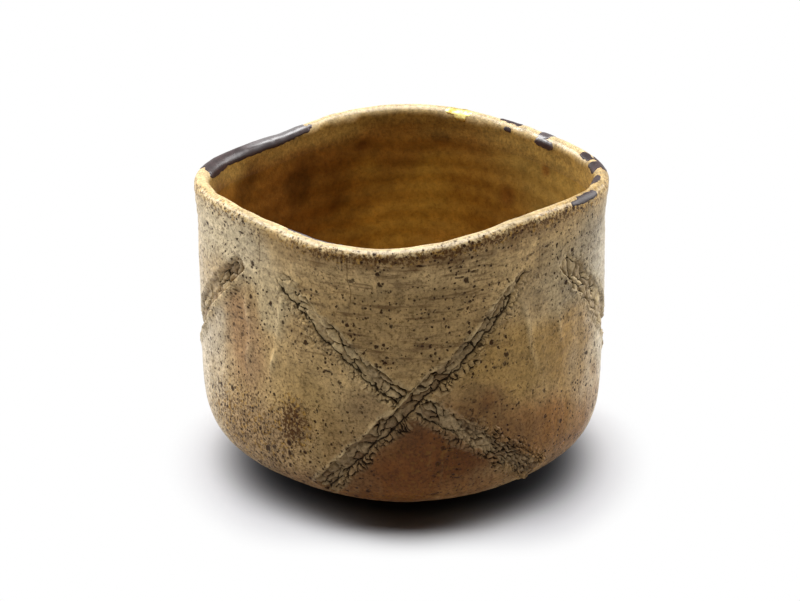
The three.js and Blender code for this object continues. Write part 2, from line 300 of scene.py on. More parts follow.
# how far the glaze stands off the plain form: slow swells, dimples, throwing rings, run streaks,
# scraped ridges and an uneven lip
def reliefAt(theta, s, place):
    z = heightAt(s)
    outside, inside = nearCrest(-1, -6, s), nearCrest(2, 8, s)
    onLip = 1 - np.maximum(outside, inside)
    off = relief["swell"] * lumps(place, relief["swellSize"], 1) * np.maximum(outside, 0.5 * inside)
    off += relief["dimple"] * lumps(place, relief["dimpleSize"], 2) * (1 - 0.4 * inside)
    wobble = lumps(place, 20, 3)
    rings = np.sin(2 * math.pi * (s / relief["ringPitch"] + 0.9 * wobble))
    rings = rings * eased(34, 52, z) * (0.35 + 0.65 * eased(-0.3, 0.5, lumps(place, 30, 4)))
    off += relief["ring"] * rings * outside
    streaks = lumps(place, np.array(relief["streakSize"]), 5) * eased(12, 30, z) * eased(76, 60, z)
    off += relief["streak"] * streaks * outside
    off += relief["lipLump"] * lumps(place, relief["lipSize"], 6) * onLip
    off += relief["wellRing"] * np.sin(2 * math.pi * (s / relief["wellPitch"] + 0.5 * wobble)) * inside
    return (off + ridgeAt(theta, s, place)) * eased(0, 6, s)


# the scraped ridges: a bell across each line, steep on one side and long on the other
def ridgeAt(theta, s, place):
    z = heightAt(s)
    drift, uneven = 0.9 * lumps(place, 9, 7), 0.65 + 0.5 * lumps(place, 6, 8)
    off = np.zeros(theta.shape)
    for ridge in ridges:
        (a0, z0), (a1, z1) = ridge["ends"]
        share = np.clip((z - z0) / (z1 - z0), 0, 1)
        away = turnFrom(theta, a0 + (a1 - a0) * share) * bowl["unrollRadius"]
        across = (away + drift) / ridge["wide"]
        strength = eased(z0 + 2, z0 - 4, z) * eased(z1 - 2, z1 + 8, z) * uneven
        shape = np.exp(-across ** 2 * np.where(across > 0, 0.25, 1.6))
        off += ridge["high"] * strength * shape * (s < crestS)
    return off


def addObject(name, data):
    made = bpy.data.objects.new(name, data)
    bpy.context.scene.collection.objects.link(made)
    return made


# puts a grid of points into a mesh: columns close on each other, and rows do too or else end in two fans;
# faces are turned outwards by the sign of the enclosed volume
def makePiece(name, grid, ringRows=False, attributes=None):
    rows, columns = grid.shape[:2]
    points = grid.reshape(-1, 3)
    number = np.arange(rows * columns).reshape(rows, columns)
    ahead = np.roll(number, -1, axis=1)
    quads = np.stack([number, ahead, np.roll(ahead, -1, axis=0), np.roll(number, -1, axis=0)], -1)
    faces = (quads if ringRows else quads[:-1]).reshape(-1, 4)
    fans = np.empty((0, 3), int)
    if not ringRows:
        points = np.concatenate([points, grid[0].mean(0)[None], grid[-1].mean(0)[None]])
        first, last = rows * columns, rows * columns + 1
        fans = np.concatenate([
            np.stack([ahead[0], number[0], np.full(columns, first)], -1),
            np.stack([number[-1], ahead[-1], np.full(columns, last)], -1)])
    tris = np.concatenate([faces[:, [0, 1, 2]], faces[:, [0, 2, 3]], fans])
    a, b, c = (points[tris[:, k]] for k in range(3))
    if (a * np.cross(b, c)).sum() < 0:
        faces, fans = faces[:, ::-1], fans[:, ::-1]
    corners = np.concatenate([faces.ravel(), fans.ravel()]).astype(np.int32)
    sizes = np.concatenate([np.full(len(faces), 4), np.full(len(fans), 3)]).astype(np.int32)
    starts = np.concatenate([[0], np.cumsum(sizes)[:-1]]).astype(np.int32)
    mesh = bpy.data.meshes.new(name)
    mesh.vertices.add(len(points))
    mesh.vertices.foreach_set("co", (points * mm).astype(np.float32).ravel())
    mesh.loops.add(len(corners))
    mesh.loops.foreach_set("vertex_index", corners)
    mesh.polygons.add(len(sizes))
    mesh.polygons.foreach_set("loop_start", starts)
    mesh.polygons.foreach_set("use_smooth", np.ones(len(sizes), bool))
    mesh.update(calc_edges=True)
    mesh.validate()
    for label, values in (attributes or {}).items():
        values = values.reshape(rows * columns, -1)
        if not ringRows:  # the fans' middles take the first and the last value
            values = np.concatenate([values, values[:1], values[-1:]])
        if values.shape[1] == 3:
            layer = mesh.attributes.new(label, "FLOAT_COLOR", "POINT")
            layer.data.foreach_set("color", np.c_[values, np.ones(len(values))].astype(np.float32).ravel())
        else:
            layer = mesh.attributes.new(label, "FLOAT", "POINT")
            layer.data.foreach_set("value", values.astype(np.float32).ravel())
    print("piece", name, len(points), "points,", len(tris), "triangles")
    return addObject(name, mesh)


# a piece draped over the glazed form: raised by an offset, with an underside below three of its columns
# that takes the values above it
def drape(name, theta, s, off, thick, inset, values):
    place, out = surfaceAt(theta, s), outwardAt(theta, s)
    top = place + out * (reliefAt(theta, s, place) + off)[..., None]
    hidden = [off.shape[1] - 1 - inset, off.shape[1] // 2, inset]
    back = (place - out * thick)[:, hidden]
    values = {key: np.concatenate([value, value[:, hidden]], 1) for key, value in values.items()}
    return makePiece(name, np.concatenate([top, back], 1), False, values)


# finishes a piece: its material, body and the solids that it stands for
def settle(piece, finish, slot, *nodes):
    piece.data.materials.append(finish)
    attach(piece, "root")
    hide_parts(*nodes)


# colour patches of the outside, laid one over the other:
# angle, height, reach in degrees and mm, colour as picked on screen, strength
wallColours = {
    "ground": linear(182, 151, 101),
    "patches": (
        (0, 66, 34, 16, (150, 120, 74), 0.8),  # the browner triangle above the crossing
        (-60, 82, 24, 12, (200, 180, 143), 1.0),  # the pale left shoulder: painted light from the left side
        # painted sheen and side light on the pale left edge
        (-92, 44, 28, 46, (196, 182, 158), 0.8),
        (-40, 68, 7, 12, (196, 174, 132), 0.7),
        (-55, 52, 11, 20, (160, 124, 84), 0.95),  # warm left panel
        (-30, 34, 14, 18, (166, 134, 80), 0.8),
        (-50, 20, 21, 13, (150, 121, 84), 0.8),
        (-33, 32, 5, 7, (106, 80, 50), 0.6),  # the dark speckled patch
        (30, 48, 20, 16, (150, 116, 60), 0.85),
        (56, 46, 15, 18, (148, 113, 60), 0.8),
        (56, 68, 16, 14, (158, 138, 103), 0.85),
        (72, 74, 18, 16, (126, 110, 82), 0.9),
        # painted sheen and side light on the pale right edge
        (100, 24, 26, 20, (204, 191, 168), 0.6),
        (88, 48, 28, 38, (200, 187, 162), 0.75),
        (34, 25, 20, 11, (132, 88, 40), 0.9),  # the right panel turning redder downwards
        (58, 22, 20, 12, (128, 84, 34), 0.8),
        (-18, 24, 12, 16, (124, 94, 56), 0.55),  # the darker ground along the lower arms
        (-24, 11, 22, 7, (104, 69, 37), 0.75),
        (20, 33, 13, 10, (124, 86, 42), 0.6),
        (50, 13, 18, 8, (118, 80, 42), 0.6),
        (42, 70, 6, 10, (134, 110, 74), 0.6),
        # painted shade in the hollows beside the strokes just below the crossing
        (-9, 42, 8, 6, (120, 93, 60), 0.6),
        (13, 42, 10, 7, (124, 91, 50), 0.6),
        (27, 26, 13, 9, (112, 80, 46), 0.6),
        (-7, 19, 13, 11, (102, 64, 28), 0.85),
        (7, 24, 19, 15, (98, 56, 18), 1.0),  # iron red between the lower arms
        (3, 34, 8, 8, (100, 60, 24), 0.8),
        (8, 12, 30, 6, (110, 66, 24), 0.8),
        (140, 60, 34, 30, (150, 122, 78), 0.8),
        (150, 34, 30, 26, (158, 120, 70), 0.7),
        (-140, 40, 34, 34, (160, 128, 84), 0.8),
        (180, 68, 30, 16, (148, 118, 72), 0.8),
        (180, 20, 24, 12, (106, 60, 30), 0.9),
    ),
    "shade": np.array([0.985, 1.01, 1.04]), "lip": linear(191, 167, 121), "underLip": linear(104, 74, 36),
    "innerLip": linear(140, 110, 54), "ridge": linear(206, 188, 146), "wornLip": linear(156, 130, 82),
}
wellColours = {
    "shade": 1.7, "ground": linear(123, 93, 46),
    "patches": (
        (180, 60, 40, 22, (134, 104, 40), 0.8),
        (180, 80, 70, 9, (104, 70, 26), 0.8),
        (-140, 66, 36, 24, (82, 50, 16), 0.85),  # the dark left side: painted shade, here and in the next patch
        (-105, 76, 26, 22, (92, 60, 20), 0.9),
        (122, 74, 26, 26, (110, 88, 42), 0.8),  # the golden right side
        (144, 60, 18, 14, (116, 82, 30), 0.7),
        (-141.6, 71, 7, 9, (58, 34, 10), 0.75),  # dark blotches
        (-115, 78, 6, 8, (62, 38, 12), 0.7),
        (140.6, 66, 4, 4, (84, 50, 18), 0.7),
        (122.5, 79, 2.2, 2.2, (84, 52, 20), 0.8),
        (166.8, 80, 4, 2.5, (66, 38, 12), 0.7),
        (-166, 78.5, 3, 2.2, (66, 38, 12), 0.7),
        (-157, 61, 5, 3, (66, 40, 12), 0.6),
        # painted light: the floor of the well made lighter all round, against the shade deep in it
        (0, 20, 999, 22, (140, 110, 46), 0.8),
    ),
}


def mixed(base, colour, share):
    return base + (colour - base) * np.clip(share, 0, 1)[..., None]


# soft-edged patches of colour laid over a ground, their edges shaken by lumps
def patched(colours, theta, z, warp):
    tint = np.broadcast_to(colours["ground"], theta.shape + (3,))
    for angle, height, wide, tall, colour, strength in colours["patches"]:
        turn = np.degrees(turnFrom(theta, angle))
        shake = warp * min(1.0, tall / 14)
        far = np.hypot((turn + 0.8 * shake) / wide, (z - height + 0.7 * shake) / tall)
        tint = mixed(tint, linear(*colour), strength * eased(1.35, 0.45, far))
    return colours["shade"] * tint


def cleanLip(theta):  # the left of the front lip, which has few specks and hardly a dark band
    return bell(np.degrees(theta), -46, 16)


# the colour of the glaze at every point, from the ground, the patches (some of them painted light and shade)
# and the lip
def glazeTint(theta, s, place):
    z = heightAt(s)
    warp = 9 * lumps(place, 14, 21) + 4 * lumps(place, 6, 22)
    band = nearCrest(-10, -4, s + 2.5 * lumps(place, 3, 23)) * eased(0.2, 0.9, np.cos(theta))
    worn = bell(np.degrees(theta), 72, 34) * nearCrest(-3.3, -2.2, s)
    tint = patched(wallColours, theta, z, warp)
    for name, share in (("ridge", 0.5 * ridgeAt(theta, s, place)),
                        ("underLip", 0.75 * band * (1 - 0.7 * cleanLip(theta))),
                        ("lip", nearCrest(-3.3, -2.2, s + 0.9 * lumps(place, 2.2, 24))),
                        ("wornLip", 0.8 * worn),
                        ("innerLip", nearCrest(1.8, 4.5, s + lumps(place, 4, 25)))):
        tint = mixed(tint, wallColours[name], share)
    return mixed(tint, patched(wellColours, theta, z, warp), nearCrest(3, 12, s + 3 * lumps(place, 9, 26)))


# how thickly pits and specks lie: on the outside, most at the lower left and above the crossings,
# few where it is red
def pitAmount(theta, s, place):
    z, angle = heightAt(s), np.degrees(theta)
    lowLeft = bell(angle, -45, 30) * eased(48, 22, z)
    middle = eased(0.7, 0.95, np.abs(np.cos(theta))) * eased(44, 54, z)
    red = bell(angle, 8, 24) * eased(38, 26, z)
    thick = 0.36 + 0.9 * lowLeft + 0.25 * middle - 0.1 * red + 0.35 * lumps(place, 16, 27)
    return nearCrest(0.5, -2.5, s) * np.clip(thick, 0, 1.2)


# rust specks: under the lip at the front, on the lip, in the dark and the red patch, and scattered
def rustAmount(theta, s, place):
    z, angle = heightAt(s), np.degrees(theta)
    under = nearCrest(-6.5, -4, s) * nearCrest(-1, -3, s) * (0.3 + 0.45 * eased(-0.1, 0.8, np.cos(theta)))
    onLip = nearCrest(-3, -1, s) * nearCrest(4, 1, s)
    corner = bell(angle, 75, 28) + 0.7 * bell(angle, -70, 16)
    cluster = 1.2 * bell(angle, -33, 4.5) * bell(z, 32, 6.5)
    lowLeft = 0.45 * bell(angle, -55, 24) * bell(z, 24, 14)
    red = 0.16 * bell(angle, 8, 20) * eased(38, 28, z)
    lip = under * (1 - 0.75 * cleanLip(theta)) + (0.06 + 0.4 * corner) * onLip
    return np.clip(lip + (cluster + lowLeft + red) * (s < crestS) + 0.1, 0, 1)


# hairline cracks running down from the lip: angle, upper and lower height; hairFar stands for none near
hairlines = ((-14.7, 87, 72), (43, 84, 70), (-47, 87, 75), (168, 87, 74))
hairFar = 4.0


# signed distance in mm to the nearest hairline, growing past its ends
def hairAt(theta, s, place):
    z = heightAt(s)
    drift = 0.7 * lumps(place, 5, 28)
    nearest = np.full(theta.shape, hairFar)
    for angle, top, bottom in hairlines:
        away = turnFrom(theta, angle) * bowl["unrollRadius"] + drift
        past = np.maximum(eased(top - 1, top + 1, z), eased(bottom + 2, bottom - 1, z))
        away = away + np.sign(away) * 3 * past
        nearest = np.where(np.abs(away) < np.abs(nearest), away, nearest)
    return np.where(s < crestS, nearest, hairFar)


def shineAt(theta, s):  # the crest of the lip is the glassiest, but worn at the side corners
    angle = np.degrees(theta)
    worn = 0.9 * (bell(angle, 70, 35) + bell(angle, -75, 26))
    onCrest = nearCrest(-3.2, -1.6, s) * nearCrest(3, 1, s) * (1 - worn)
    return glazeLook["glass"] + (glazeLook["lipGlass"] - glazeLook["glass"]) * onCrest


# brown throwing lines: most in the middle of the front and the back, above the crossings
def lineAmount(theta, s):
    facing = 0.25 + 0.75 * eased(0.75, 0.95, np.abs(np.cos(theta)))
    return eased(46, 58, heightAt(s)) * nearCrest(-2, -8, s) * facing


def glazeValues(theta, s, place):  # what the glaze's finish reads at every point
    return {"tint": glazeTint(theta, s, place), "pits": pitAmount(theta, s, place),
            "rust": rustAmount(theta, s, place), "lines": lineAmount(theta, s)}


# the outer coat and the coat of the well; each runs on under the other at the join, sinking by a square law
join = {"runOn": 2.4, "sink": 0.1}
wallGrid = {"columns": 600, "pitch": 0.66, "lipPitch": 0.42, "lipReach": 5.0, "thick": 2.6, "lipThick": 1.0,
            "backRows": 14}
wellGrid = {"columns": 400, "pitch": 0.9, "thick": 1.2, "backRows": 16}


def wallRows(end):
    low, high = crestS - wallGrid["lipReach"], crestS + wallGrid["lipReach"]
    below = np.linspace(0, low, int(low / wallGrid["pitch"]), endpoint=False)
    lip = np.linspace(low, high, int((high - low) / wallGrid["lipPitch"]), endpoint=False)
    inner = np.linspace(high, end, int((end - high) / wallGrid["pitch"]) + 1)
    return np.concatenate([below, lip, inner])


def roundTurn(columns):  # angles all the way round
    return np.linspace(-math.pi, math.pi, columns, endpoint=False)


def troughAt(theta, s):  # the outer coat dips under the crawled glaze that lies in each stroke
    dip = np.zeros(theta.shape)
    for side in strokes.values():
        for stroke in side:
            across, along, length = strokeSpot(stroke, theta, s)
            inside = eased(2.2, 4.2, along) * eased(length - 2.2, length - 4.2, along)
            edge = carving["margin"]
            dip = np.maximum(dip, carving["under"] * inside * eased(edge - 0.7, edge - 3.2, np.abs(across)))
    return dip


# the two faces of a coat, the seen one with its relief less what it sinks, and the hidden back
def coatFaces(columns, rows, backRows, sunk, thickness):
    theta = roundTurn(columns)
    t, s = np.meshgrid(theta, rows)
    place = surfaceAt(t, s)
    seen = place + outwardAt(t, s) * (reliefAt(t, s, place) - sunk(t, s))[..., None]
    tb, sb = np.meshgrid(theta, backRows)
    backPlace = surfaceAt(tb, sb)
    back = backPlace - outwardAt(tb, sb) * thickness(sb)[..., None]
    return (t, s, place, seen), (tb, sb, backPlace, back)


def makeWall():
    def sunk(t, s):
        return troughAt(t, s) + join["sink"] * np.maximum(s - joinS, 0) ** 2

    def thickness(s):
        return wallGrid["thick"] + (wallGrid["lipThick"] - wallGrid["thick"]) * nearCrest(-12, -4, s)

    end = joinS + join["runOn"]
    backRows = np.linspace(end, 0, wallGrid["backRows"])
    faces = coatFaces(wallGrid["columns"], wallRows(end), backRows, sunk, thickness)
    t, s, place, grid = (np.concatenate(both) for both in zip(*faces))
    return makePiece("outer_glaze_coat", grid, True, {
        **glazeValues(t, s, place), "hair": hairAt(t, s, place), "shine": shineAt(t, s)})


def makeWell():  # from under the floor up the back, over the top and down to the middle
    def sunk(t, s):
        return join["sink"] * np.maximum(joinS - s, 0) ** 2

    def thickness(s):
        return np.full(s.shape, wellGrid["thick"])

    start = joinS - join["runOn"]
    rows = np.linspace(start, tipS, int((endS - joinS) / wellGrid["pitch"]))
    backRows = np.linspace(tipS, start, wellGrid["backRows"])
    seen, back = coatFaces(wellGrid["columns"], rows, backRows, sunk, thickness)
    t, s, place, grid = (np.concatenate(both) for both in zip(back, seen))
    return makePiece("inner_glaze_coat", grid, False, glazeValues(t, s, place))


# the crawled glaze along one stroke: a channel, sharp at the bank with the crest and soft at the other,
# floored with long pillowed islands, with flakes along the banks and, where told, fine curled beads
def crawlStrip(name, stroke, rivals):
    even, line, way = strokeLine(stroke, carving["pitchAlong"])
    margin, length, seed = carving["margin"], even[-1], stroke["seed"]
    w = np.arange(-margin, margin + 1e-6, carving["pitchAcross"])
    along, across = np.meshgrid(even, w, indexing="ij")
    theta = (line[:, :1] - way[:, 1:] * across) / bowl["unrollRadius"]
    s = line[:, 1:] + way[:, :1] * across
    place = surfaceAt(theta, s)
    upper = across * np.sign(way[:, 0].mean())  # above 0 on the stroke's upper side
    flat = np.stack([along, across, 0 * along], -1)
    run = np.stack([along, 0 * along, 0 * along], -1)

    def changing(key):  # a value given at the top, middle and end
        return np.interp(along / length, (0, 0.5, 1), stroke[key])

    def spots(size, number):  # lumps all over the strip
        return lumps(flat, size, seed + number)

    def stretches(size, number):  # lumps along it only
        return lumps(run, size, seed + number)

    fade = eased(0.5, stroke["enter"], along) * eased(length - 0.5, length - 5, along)
    ends = eased(0.4, 2.5, along) * eased(length - 0.4, length - 2.5, along)
    jag = 0.7 * stretches(6, 62) + 0.6 * spots(1.9, 60) + 0.3 * spots(0.7, 61)
    rounded = np.sqrt(np.clip(1 - ((5 - along) / 5).clip(0, 1) ** 2, 0, 1))
    half = (changing("half") * (0.75 + 0.25 * fade) + stroke["jag"] * jag) * rounded
    beyond = np.abs(across) - half  # above 0 outside the channel
    bank, soft = upper * np.sign(stroke["crest"]), stroke["soft"]  # bank is above 0 on the crest's side
    channel = eased(np.where(bank > 0, 0.2, soft), np.where(bank > 0, -0.25, -0.7 * soft), beyond)
    driftA = 0.6 * spots(2.2, 63) + 0.35 * spots(0.75, 64)
    driftB = 0.6 * spots(2.2, 65) + 0.35 * spots(0.75, 66)
    u, v = along + driftA, across + driftB
    cellLong, cellWide = carving["cellLong"] * stroke["large"], carving["cellWide"] * stroke["large"]
    border, island = paving(u, v, cellLong, cellWide, seed)
    crack = eased(carving["crackWide"], carving["crackWide"] * 0.3, border)
    crack = crack * channel * eased(-0.5, 0.1, spots(3.5, 67))
    lowRim = bell(beyond, -0.15, 0.22) * eased(-0.8, -0.3, spots(4, 68)) * (bank < 0) * (soft < 1)
    topRim = bell(beyond, -0.3, 0.17) * eased(-0.2, 0.3, spots(5, 69)) * (bank > 0)
    reach = 3.2 + 1.2 * stretches(6, 70)
    flakes = eased(reach, reach - 1.6, beyond) * (1 - channel)
    flakes = flakes * np.where(upper < 0, changing("lower"), changing("upper"))
    flakes = flakes * eased(1, 6, along) * eased(length - 1, length - 4, along)
    flakeBorder, flakeName = paving(u, v, carving["flakeLong"], carving["flakeWide"], seed + 5)
    flakeCrack = eased(0.3, 0.12, flakeBorder) * np.sqrt(flakes) * eased(-0.7, -0.2, spots(2.5, 71))
    fine = eased(5.2, 4.2, np.abs(across) + 1.2 * spots(3, 72)) * eased(0.1, 0.6, changing("fine"))
    fine = fine * eased(length - 0.5, length - 3, along)
    u, v = along + 1.2 * driftA, across + 1.2 * driftB
    curlBorder, curlName = paving(u, v, carving["curlSize"], carving["curlSize"] * 0.75, seed + 6)
    curlCrack = eased(0.24, 0.1, curlBorder) * fine * eased(-0.6, -0.1, spots(2, 73))
    thinCrack = np.maximum(flakeCrack, curlCrack)
    coarse = 1 - 0.9 * fine
    crest = bell(bank, half + 0.4, np.where(bank - half > 0.4, stroke["slope"], 0.3)) * fade
    crest = crest * (0.65 + 0.35 * stretches(4, 74)) * (1 - 0.8 * fine)
    pillow = carving["islandHigh"] * eased(0, 1.1, border) + carving["islandStep"] * (island - 0.5)
    dark = np.maximum(np.maximum(crack, lowRim), 0.8 * topRim) * coarse * ends
    off = abs(stroke["crest"]) * crest - stroke["deep"] * channel * fade * (1 - 0.5 * fine)
    off += channel * coarse * fade * (pillow + 0.12 * spots(1.3, 75))
    off += flakes * (carving["flakeHigh"] * eased(0, 0.55, flakeBorder) - 0.25 + 0.25 * (flakeName - 0.5))
    off += fine * (carving["curlHigh"] * eased(0, 0.5, curlBorder) - 0.25 + 0.25 * (curlName - 0.5))
    off -= carving["crackDeep"] * dark + carving["thinCrackDeep"] * thinCrack
    edge = np.maximum(eased(1.4, 0, along), eased(length - 1.4, length, along))
    edge += eased(margin - 1.2, margin, np.abs(across))
    off += 0.02 - carving["tuck"] * edge  # its edges sink into the coat
    for rival, onTop in rivals:  # at a crossing the stroke on top keeps its channel
        away = np.abs(strokeSpot(rival, theta, s)[0])
        if onTop:
            sink = 0.2 * eased(margin - 0.2, margin - 1.4, away)
            sink += 1.8 * eased(margin - 1.4, margin - 2.6, away)
            off -= eased(0.35, 0.9, beyond) * sink
        else:
            off -= 2.0 * eased(rival["half"][1] + 0.75, rival["half"][1] + 0.3, away)
    values = glazeValues(theta, s, place)
    fill = np.clip(channel * (0.4 * ends + 0.9 * fade), 0, 1) * 0.8
    islands = mixed(carving["grey"], carving["pale"], changing("pale") + 0.6 * (island - 0.5))
    crust = np.maximum(0.8 * flakes, 0.5 * fine) * changing("pale").clip(0.1, 1)
    tint = mixed(values["tint"], islands, fill)
    # the crest of the bank is painted pale as a highlight; the flakes and fine beads are pale in their own
    # colour
    values["tint"] = mixed(tint, carving["pale"], np.maximum(0.85 * crest, crust))
    values["pits"] *= 1 - np.maximum(fill, flakes)
    values["lines"] *= 1 - fill
    values["crack"] = np.clip(np.maximum(dark, thinCrack), 0, 1)
    return drape(name, theta, s, off, carving["backing"], carving["inset"], values)


def joinPieces(name, pieces):  # several meshes as one piece
    if len(pieces) > 1:
        with bpy.context.temp_override(active_object=pieces[0], selected_editable_objects=pieces):
            bpy.ops.object.join()
    pieces[0].name = name
    pieces[0].data.name = name
    return pieces[0]


def makeCrawl(side):
    made = []
    for i, stroke in enumerate(strokes[side]):
        rivals = [(other, i < j) for j, other in enumerate(strokes[side]) if j != i]
        made.append(crawlStrip(f"crawl_{side}_{i}", stroke, rivals))
    return joinPieces(f"crawled_glaze_beads_{side}", made)


# the mended chips: blobs of angle, lean from the crest to the well, half width in degrees, half lean
repairs = {
    "lacquer_repair_left": ((-120.8, 10, 24.8, 94), (-100, 62, 7.6, 60)),
    "lacquer_repair_front": ((-27.5, 36, 10.5, 27),),
    "lacquer_repair_right_front": ((66.5, -42, 5.0, 36), (61.5, -52, 5.5, 20)),
    "lacquer_repair_right": ((82, 40, 4.0, 42),),
    "lacquer_repair_right_back": ((97, -28, 7.5, 24), (103, 18, 3.2, 34), (95.5, 38, 3.6, 50)),
    "lacquer_repair_back_oval": ((124, 84, 4.6, 38), (125.4, -5, 2.7, 62)),
    "lacquer_repair_back": ((141.5, -8, 5.0, 26), (141.6, 72, 2.0, 18)),
    "gold_repair_back": ((162, 28, 4.6, 40), (161, 78, 2.2, 26)),
}
repairLook = {
    "proud": 0.13, "sunk": 0.3, "soft": 0.22, "ragged": 0.3, "raggedSize": 1.3, "lump": 0.05, "pitch": 0.22,
    "spare": 1.6, "thick": 1.1, "inset": 3, "firstSeed": 200, "dull": 0.03,
    "gloss": {"lacquer_repair_left": 0.1, "lacquer_repair_front": 0.5, "lacquer_repair_back_oval": 0.35},
    "polished": {"lacquer_repair_left": (-134, 14, 17, 32)},  # a blob that is glossier
}


# a repair draped over the lip: proud of it inside its blobs and sunk under it outside them
def makeRepair(name, blobs, seed):
    angles, leans, halfAngles, halfLeans = np.array(blobs).T
    degree = bowl["mouthRadius"] * math.pi / 180  # mm along the lip in one degree
    leanStep = bowl["lipRadius"] * math.pi / 180  # mm across the lip in one degree of lean

    def spread(middle, half, step):  # even places over all the blobs, with some to spare
        pitch, spare = repairLook["pitch"] / step, repairLook["spare"] / step
        return np.arange((middle - half).min() - spare, (middle + half).max() + spare, pitch)

    a, lean = np.meshgrid(spread(angles, halfAngles, degree), spread(leans, halfLeans, leanStep),
                          indexing="ij")
    theta, s = np.radians(a), crestS + lean * leanStep
    place = surfaceAt(theta, s)
    inside = np.full(a.shape, -9.0)
    for angle, middle, halfAngle, halfLean in blobs:
        far = (((a - angle) / halfAngle) ** 4 + ((lean - middle) / halfLean) ** 4) ** 0.25
        inside = np.maximum(inside, (1 - far) * min(halfAngle * degree, halfLean * leanStep))
    rough = lumps(place, repairLook["raggedSize"], seed) + 0.6 * lumps(place, 3.5, seed + 1)
    inside = eased(-repairLook["soft"], repairLook["soft"], inside + repairLook["ragged"] * rough)
    off = -repairLook["sunk"] + (repairLook["proud"] + repairLook["sunk"]) * inside
    off += repairLook["lump"] * lumps(place, 2.2, seed + 2)
    gloss = np.full(a.shape, repairLook["gloss"].get(name, repairLook["dull"]))
    if name in repairLook["polished"]:
        angle, middle, halfAngle, halfLean = repairLook["polished"][name]
        far = np.hypot((a - angle) / halfAngle, (lean - middle) / halfLean)
        gloss = np.maximum(gloss, eased(1.25, 0.7, far))
    return drape(f"{name}_fill", theta, s, off, repairLook["thick"], repairLook["inset"], {"gloss": gloss})


# the clay: the bare underside with its turning marks, then up inside the wall and down just behind the coat
# of the well; the flank is radius and height inside the wall
clay = {"columns": 220, "rings": 130, "tuck": 1.2, "above": 0.3, "behind": 0.7, "innerRows": 60,
        "spiral": 0.16, "spiralPitch": 2.6, "lump": 0.15, "lumpSize": 4, "sink": 0.1,
        "flank": ((51.2, 9.5), (53.6, 16.0), (55.0, 30.0), (55.0, 60.0), (54.6, 80.0))}


def makeClay():
    theta, rings, flank = roundTurn(clay["columns"]), clay["rings"], np.array(clay["flank"])
    r = np.concatenate([np.linspace(bowl["tip"], bowl["glazeEdge"] + clay["tuck"], rings), flank[:, 0]])
    z = np.concatenate([np.full(rings, bowl["footHeight"] + clay["above"]), flank[:, 1]])
    t, rr = np.meshgrid(theta, r)
    outer = pushed(t, rr, np.meshgrid(theta, z)[1])
    mark = clay["spiral"] * np.sin(2 * math.pi * rr / clay["spiralPitch"] + t) - clay["sink"]
    mark += clay["lump"] * lumps(outer, clay["lumpSize"], 71)
    outer[:rings, :, 2] += mark[:rings]
    ti, si = np.meshgrid(theta, np.linspace(joinS, tipS, clay["innerRows"]))
    inner = surfaceAt(ti, si) - outwardAt(ti, si) * clay["behind"]
    return makePiece("clay_body", np.concatenate([outer, inner]))


# the foot: a turned ring with softened edges and a dragged surface
foot = {"columns": 260, "outer": 31.0, "inner": 24.0, "bevel": 1.2, "height": 6.9, "flatRows": 16,
        "sideRows": 14, "topRows": 6, "bevelRows": 8, "drag": 0.1, "dragSize": (6.0, 6.0, 1.1),
        "lump": 0.12, "wear": 0.06}


def makeFoot():
    o, i, b, h = foot["outer"], foot["inner"], foot["bevel"], foot["height"]
    flat, side, top = foot["flatRows"], foot["sideRows"], foot["topRows"]
    bend = np.linspace(0, math.pi / 2, foot["bevelRows"])
    r = np.concatenate([np.linspace(i + b, o - b, flat), o - b + b * np.sin(bend), np.full(side, o),
                        np.linspace(o, i, top), np.full(side, i), i + b - b * np.cos(bend)])
    z = np.concatenate([np.zeros(flat), b - b * np.cos(bend), np.linspace(b, h, side),
                        np.full(top, h), np.linspace(h, b, side), b - b * np.sin(bend)])
    t, rr = np.meshgrid(roundTurn(foot["columns"]), r)
    zz = np.meshgrid(t[0], z)[1]
    place = np.stack([rr * np.sin(t), -rr * np.cos(t), zz], -1)
    drag = foot["drag"] * lumps(place, np.array(foot["dragSize"]), 81) + foot["lump"] * lumps(place, 5, 82)
    drag *= np.sign(rr - (o + i) / 2) * eased(0.2, 1.4, zz)
    place[..., 0] += np.sin(t) * drag
    place[..., 1] -= np.cos(t) * drag
    place[..., 2] += np.where(zz < 0.2, np.maximum(foot["wear"] * lumps(place, 3, 83), 0), 0)
    return makePiece("turned_foot", place, True)


# shader maths: one wrapped socket with the operators that are used
class Wire:
    def __init__(self, finish, socket):
        self.finish, self.socket = finish, socket

    def __add__(self, other):
        return self.finish.maths("ADD", self, other)

    def __sub__(self, other):
        return self.finish.maths("SUBTRACT", self, other)

    def __rsub__(self, other):
        return self.finish.maths("SUBTRACT", other, self)

    def __mul__(self, other):
        return self.finish.maths("MULTIPLY", self, other)

    __radd__ = __add__
    __rmul__ = __mul__


